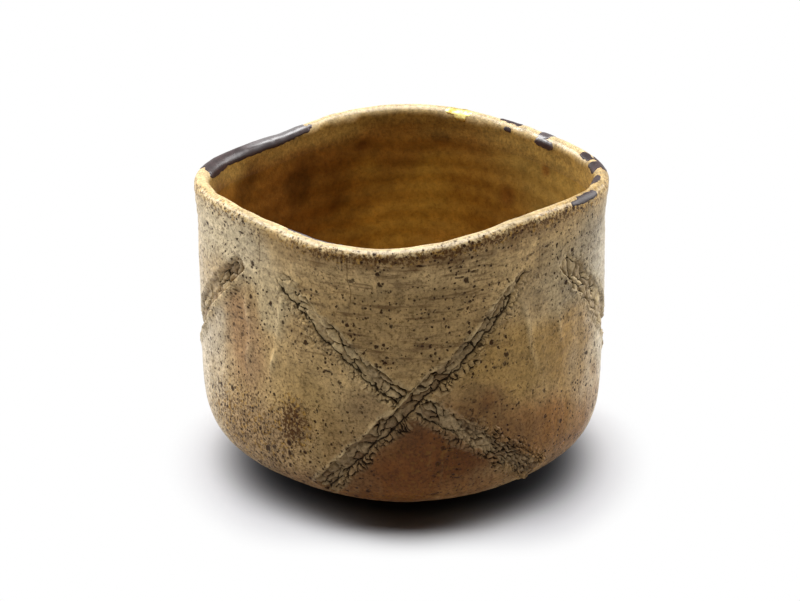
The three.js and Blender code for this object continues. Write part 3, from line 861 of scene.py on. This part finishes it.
class Finish:
    def __init__(self, owner):  # fills the nodes of a material or a world
        self.owner = owner
        owner.use_nodes = True
        self.tree = owner.node_tree
        self.tree.nodes.clear()

    @property
    def coords(self):
        return self.node("ShaderNodeTexCoord", {}, {}, "Object")

    def node(self, kind, settings, sockets, out=0):
        made = self.tree.nodes.new(kind)
        for key, value in settings.items():
            setattr(made, key, value)
        for key, value in sockets.items():
            self.feed(made.inputs[key], value)
        return Wire(self, made.outputs[out]) if len(made.outputs) else None

    def feed(self, socket, value):
        if isinstance(value, Wire):
            self.tree.links.new(value.socket, socket)
        elif isinstance(value, np.ndarray):
            socket.default_value = (*value, 1.0)
        else:
            socket.default_value = value

    def maths(self, operation, a, b):
        return self.node("ShaderNodeMath", {"operation": operation}, {0: a, 1: b})

    def most(self, a, b):
        return self.maths("MAXIMUM", a, b)

    def blend(self, share, a, b, way="MIX"):  # two colours by a share
        return self.node("ShaderNodeMix", {"data_type": "RGBA", "blend_type": way, "clamp_factor": True},
                         {0: share, 6: a, 7: b}, 2)

    def ramp(self, value, low, high, bottom=0.0, top=1.0):
        return self.node("ShaderNodeMapRange", {"interpolation_type": "SMOOTHSTEP"},
                         {"Value": value, "From Min": low, "From Max": high, "To Min": bottom, "To Max": top})

    def stretched(self, x, y, z):  # object coordinates squeezed along the axes
        return self.node("ShaderNodeMapping", {}, {"Vector": self.coords, "Scale": (x, y, z)})

    # noise with lumps of a size in mm
    def cloud(self, size, detail=4.0, rough=0.55, where=None, out="Fac"):
        sockets = {"Vector": where or self.coords, "Scale": 1000.0 / size, "Detail": detail,
                   "Roughness": rough}
        return self.node("ShaderNodeTexNoise", {}, sockets, out)

    def warped(self, size, amount, where=None):  # coordinates shaken by noise, both in mm
        return self.node("ShaderNodeVectorMath", {"operation": "MULTIPLY_ADD"}, {
            0: self.cloud(size, 2.0, 0.5, None, "Color"), 1: (amount * mm,) * 3, 2: where or self.coords})

    def dots(self, size, where=None):  # distance in cells to scattered points, a chance for each
        near = self.node("ShaderNodeTexVoronoi", {}, {
            "Vector": where or self.coords, "Scale": 1000.0 / size}, "Distance")
        return near, Wire(self, near.socket.node.outputs["Color"])

    def holes(self, size, rarest, widest, where, ragged):  # scattered ragged holes of uneven size
        near, chance = self.dots(size, where)
        radius = self.ramp(chance, rarest, 0.85, 0.15, widest + 0.25)
        return self.ramp(near + ragged * 0.5 - radius, 0.03, -0.05)

    def attribute(self, name, out="Fac"):
        return self.node("ShaderNodeAttribute", {"attribute_name": name}, {}, out)

    def bump(self, height, distance):  # a normal from a height, whose whole step is a distance in mm
        return self.node("ShaderNodeBump", {}, {"Height": height, "Strength": 1.0, "Distance": distance * mm})

    def seen(self):  # 1 for rays that look, mirror or pass through
        path = self.tree.nodes.new("ShaderNodeLightPath").outputs
        return sum(Wire(self, path[f"Is {ray} Ray"]) for ray in ("Camera", "Glossy", "Transmission"))

    def surface(self, sockets):
        shader = self.node("ShaderNodeBsdfPrincipled", {}, sockets, "BSDF")
        self.node("ShaderNodeOutputMaterial", {}, {"Surface": shader})
        return self.owner


# the glaze: its tint broken up by clouds, runs, rust specks and dark pits, with cracks where it crawled
glazeLook = {
    "pale": linear(176, 156, 112), "rust": linear(72, 43, 17), "pit": linear(46, 25, 8),
    "crack": linear(30, 18, 9), "yellow": linear(186, 140, 52), "roughness": 0.34, "grain": 0.24,
    "innerGrain": 0.08, "glass": 0.05, "lipGlass": 0.6, "bloom": 0.05,
}


def glazeFinish(name, cracked=False, inside=False):
    f = Finish(bpy.data.materials.new(name))
    tint = f.attribute("tint", "Color")
    pits, rust, lines = f.attribute("pits"), f.attribute("rust"), f.attribute("lines")
    wide, medium, fine = f.cloud(11, 5, 0.6), f.cloud(2.6, 5, 0.65), f.cloud(0.9, 4, 0.7)
    bands = f.cloud(1.5, 3, 0.6, f.stretched(0.12, 0.12, 1))
    grain = glazeLook["innerGrain" if inside else "grain"]
    level = f.ramp(wide, 0.3, 0.7, 1.1, 0.84) * f.ramp(medium, 0.3, 0.7, 1.18, 0.8)
    level = level * f.ramp(fine, 0.3, 0.7, 1 + grain, 1 - grain)
    colour = f.blend(1.0, tint, level, "MULTIPLY")
    if not inside:
        runs = f.cloud(2.4, 3, 0.5, f.stretched(1, 1, 0.12))
        colour = f.blend(f.ramp(runs, 0.53, 0.7) * 0.07 * f.ramp(pits, 0.1, 0.5), colour, glazeLook["pale"])
        colour = f.blend(f.ramp(bands, 0.5, 0.66) * 0.6 * lines, colour, glazeLook["rust"])
    fleck = f.ramp(f.cloud(1.3, 3), 0.54, 0.62) * f.ramp(rust, 0.15, 0.5) * 0.5
    colour = f.blend(fleck, colour, glazeLook["yellow"])
    speck = f.ramp(fine + 0.13 * rust + 0.03 * pits, 0.57, 0.66)
    speck = speck * (f.ramp(pits, 0.0, 0.4, 0.12, 0.4) + 0.5 * rust)
    colour = f.blend(speck, colour, glazeLook["rust"])
    shaken, ragged = f.warped(0.9, 0.9), fine - 0.18 * pits
    small = f.holes(1.15, 0.3, 0.32, shaken, ragged)
    large = f.holes(2.9, 0.52, 0.22, shaken, ragged)
    dashes = f.holes(3.0, 0.5, 0.22, f.warped(1.6, 0.8, f.stretched(0.5, 0.5, 1.9)), ragged)
    holes = f.most(f.most(small, large), dashes * f.ramp(f.cloud(16), 0.45, 0.6))
    holes = holes * f.ramp(pits, 0.05, 0.5)
    colour = f.blend(holes * 0.92, colour, glazeLook["pit"])
    height = fine * 0.6 + medium * 1.1 - holes * 2.2 - f.ramp(bands, 0.5, 0.7) * lines * 0.3
    dull = f.most(holes, speck)
    if cracked:
        crack = f.ramp(f.attribute("crack"), 0.25, 0.8)
        colour = f.blend(crack * 0.9, colour, glazeLook["crack"])
        dull = f.most(dull, crack)
    elif not inside:
        hair = f.maths("ABSOLUTE", f.attribute("hair") + fine * 0.7 - 0.35, 0.0)
        colour = f.blend(f.ramp(hair, 0.22, 0.08) * 0.6, colour, glazeLook["rust"])
    rough = f.ramp(medium, 0.3, 0.7, glazeLook["roughness"] - 0.08, glazeLook["roughness"] + 0.12)
    shine = glazeLook["glass"] if inside or cracked else f.attribute("shine")
    return f.surface({
        "Base Color": colour, "Roughness": rough, "Normal": f.bump(height, 0.16), "Specular IOR Level": 0.02,
        "Coat Weight": (1 - dull) * shine, "Coat Roughness": 0.26, "Coat IOR": 2.0,
        "Sheen Weight": 0.0 if inside else glazeLook["bloom"], "Sheen Roughness": 0.45})


lacquerLook = {"dark": linear(35, 22, 22), "light": linear(54, 38, 38)}


def lacquerFinish():
    f = Finish(bpy.data.materials.new("dark_lacquer"))
    cloud, grain = f.cloud(4, 4), f.cloud(0.5, 2)
    colour = f.blend(f.ramp(cloud, 0.35, 0.7), lacquerLook["dark"], lacquerLook["light"])
    return f.surface({
        "Base Color": colour, "Roughness": 0.5, "Normal": f.bump(grain + cloud * 2, 0.03),
        "Specular IOR Level": 0.15, "Coat Weight": f.attribute("gloss"), "Coat Roughness": 0.28,
        "Coat IOR": 2.4})


goldLook = {"bright": linear(238, 222, 140), "worn": linear(164, 128, 60)}


def goldFinish():
    f = Finish(bpy.data.materials.new("worn_gold"))
    cloud, grain = f.cloud(1.8, 4), f.cloud(0.4, 3)
    colour = f.blend(f.ramp(cloud, 0.4, 0.7), goldLook["bright"], goldLook["worn"])
    return f.surface({
        "Base Color": colour, "Metallic": f.ramp(grain, 0.68, 0.6, 0.6, 1.0),
        "Roughness": f.ramp(cloud, 0.3, 0.7, 0.22, 0.42), "Normal": f.bump(grain, 0.05)})


clayLook = {"pale": linear(176, 142, 104), "warm": linear(150, 112, 78), "grog": linear(96, 70, 50),
            "sand": linear(196, 168, 132)}


def clayFinish():
    f = Finish(bpy.data.materials.new("bare_clay"))
    cloud, sand, grog = f.cloud(9, 5), f.cloud(0.6, 4, 0.7), f.dots(1.7)[0]
    colour = f.blend(f.ramp(cloud, 0.35, 0.7), clayLook["pale"], clayLook["warm"])
    colour = f.blend(f.ramp(grog, 0.22, 0.12) * 0.6, colour, clayLook["grog"])
    colour = f.blend(f.ramp(sand, 0.58, 0.7) * 0.4, colour, clayLook["sand"])
    height = sand - f.ramp(grog, 0.22, 0.1)
    return f.surface({"Base Color": colour, "Roughness": 0.9, "Normal": f.bump(height, 0.2)})


wallFinish = glazeFinish("outer_glaze_finish")
crawlFinish = glazeFinish("crawled_glaze_finish", cracked=True)
wellFinish = glazeFinish("inner_glaze_finish", inside=True)
lacquer, gold, bareClay = lacquerFinish(), goldFinish(), clayFinish()

settle(makeWall(), wallFinish, "outer_glaze", "outer_glaze")
settle(makeWell(), wellFinish, "inner_glaze", "inner_glaze")
for sideName in strokes:
    settle(makeCrawl(sideName), crawlFinish, "crawled_glaze", f"crawled_glaze_{sideName}")
for seedNumber, (repairName, repairBlobs) in enumerate(repairs.items()):
    made = makeRepair(repairName, repairBlobs, repairLook["firstSeed"] + 10 * seedNumber)
    isGold = repairName.startswith("gold")
    settle(made, gold if isGold else lacquer, "gold" if isGold else "lacquer", repairName)
settle(makeClay(), bareClay, "fired_clay", "bowl_body")
settle(makeFoot(), bareClay, "foot_clay", "foot_ring")
print("pieces made")

# the floor: plain ground with a painted shadow, darkest under the bowl, and white further off for what looks
# at it; in metres
stage = {"floorSize": 8.0, "nearWhite": 0.059, "farWhite": 0.077, "squeeze": (1.02, 1.0, 1.0),
         "frontGain": 0.011, "frontSides": (0.05, 0.01), "shade": (0.043, 0.064),
         "middle": (0.0015, -0.004, 0.0), "floor": linear(196, 196, 199), "under": linear(60, 60, 63),
         "white": linear(255, 255, 255), "dim": 0.02}


def makeFloor():
    half = stage["floorSize"] / 2
    corners = [(x * half, y * half, 0) for x, y in ((-1, -1), (1, -1), (1, 1), (-1, 1))]
    mesh = bpy.data.meshes.new("floor")
    mesh.from_pydata(corners, [], [(0, 1, 2, 3)])
    floor = addObject("floor", mesh)
    f = Finish(bpy.data.materials.new("floor_finish"))
    reach = f.node("ShaderNodeVectorMath", {"operation": "DISTANCE"},
                   {0: f.stretched(*stage["squeeze"]), 1: stage["middle"]}, "Value")
    side = f.maths("ABSOLUTE", f.node("ShaderNodeSeparateXYZ", {}, {0: f.coords}, "X"), 0.0)
    # the painted shadow is shortest straight in front, where the white also begins nearest
    reach = reach + f.ramp(side, *stage["frontSides"], 0.0, stage["frontGain"])
    white = f.ramp(reach, stage["nearWhite"], stage["farWhite"]) * f.seen()
    # the painted shadow: the ground colour darkens to the under colour close to the bowl
    paintedShadowFloor = f.blend(f.ramp(reach, *stage["shade"]), stage["under"], stage["floor"])
    ground = f.node("ShaderNodeBsdfDiffuse", {}, {"Color": paintedShadowFloor})
    glow = f.node("ShaderNodeEmission", {}, {"Color": stage["white"], "Strength": 1.0})
    mix = f.node("ShaderNodeMixShader", {}, {0: white, 1: ground, 2: glow})
    f.node("ShaderNodeOutputMaterial", {}, {"Surface": mix})
    mesh.materials.append(f.owner)


lampAim = np.array([0, 0, 0.05])
lamps = {
    "left": {"at": (-0.72, 0.40, 0.50), "size": (0.5, 0.6), "watts": 12.0},
    "right": {"at": (0.72, 0.44, 0.48), "size": (0.5, 0.6), "watts": 10.0},
    "top": {"at": (0.0, 0.05, 0.95), "size": (1.2, 1.0), "watts": 15.0},
}


def makeLamps():
    for name, lamp in lamps.items():
        light = bpy.data.lights.new(f"lamp_{name}", "AREA")
        light.shape = "RECTANGLE"
        light.size, light.size_y = lamp["size"]
        light.energy = lamp["watts"]
        at = np.array(lamp["at"])
        holder = addObject(light.name, light)
        holder.location = at
        holder.rotation_euler = Vector(lampAim - at).to_track_quat("-Z", "Y").to_euler()


def makeWorld():  # white surroundings for what is seen or mirrored, dim for the rest
    world = bpy.data.worlds.new("studio")
    bpy.context.scene.world = world
    f = Finish(world)
    dim = f.node("ShaderNodeBackground", {}, {"Color": stage["white"], "Strength": stage["dim"]})
    bright = f.node("ShaderNodeBackground", {}, {"Color": stage["white"], "Strength": 1.0})
    mix = f.node("ShaderNodeMixShader", {}, {0: f.seen(), 1: dim, 2: bright})
    f.node("ShaderNodeOutputWorld", {}, {"Surface": mix})


view = {"target": (-0.95, 0.0, 48.5), "elevation": 23.5, "distance": 673.0, "focalPixels": 2263.0,
        "width": 800, "sensor": 36.0}


def makeCamera():
    camera = bpy.data.cameras.new("camera")
    camera.sensor_width = view["sensor"]
    camera.lens = view["focalPixels"] / view["width"] * camera.sensor_width
    lift = math.radians(view["elevation"])
    target = np.array(view["target"])
    holder = addObject("camera", camera)
    holder.location = (target + view["distance"] * np.array([0, -math.cos(lift), math.sin(lift)])) * mm
    holder.rotation_euler = (math.pi / 2 - lift, 0, 0)
    bpy.context.scene.camera = holder


makeFloor()
makeLamps()
makeWorld()
makeCamera()
bpy.context.scene.view_settings.view_transform = "Standard"
print("stage, lamps and camera made")
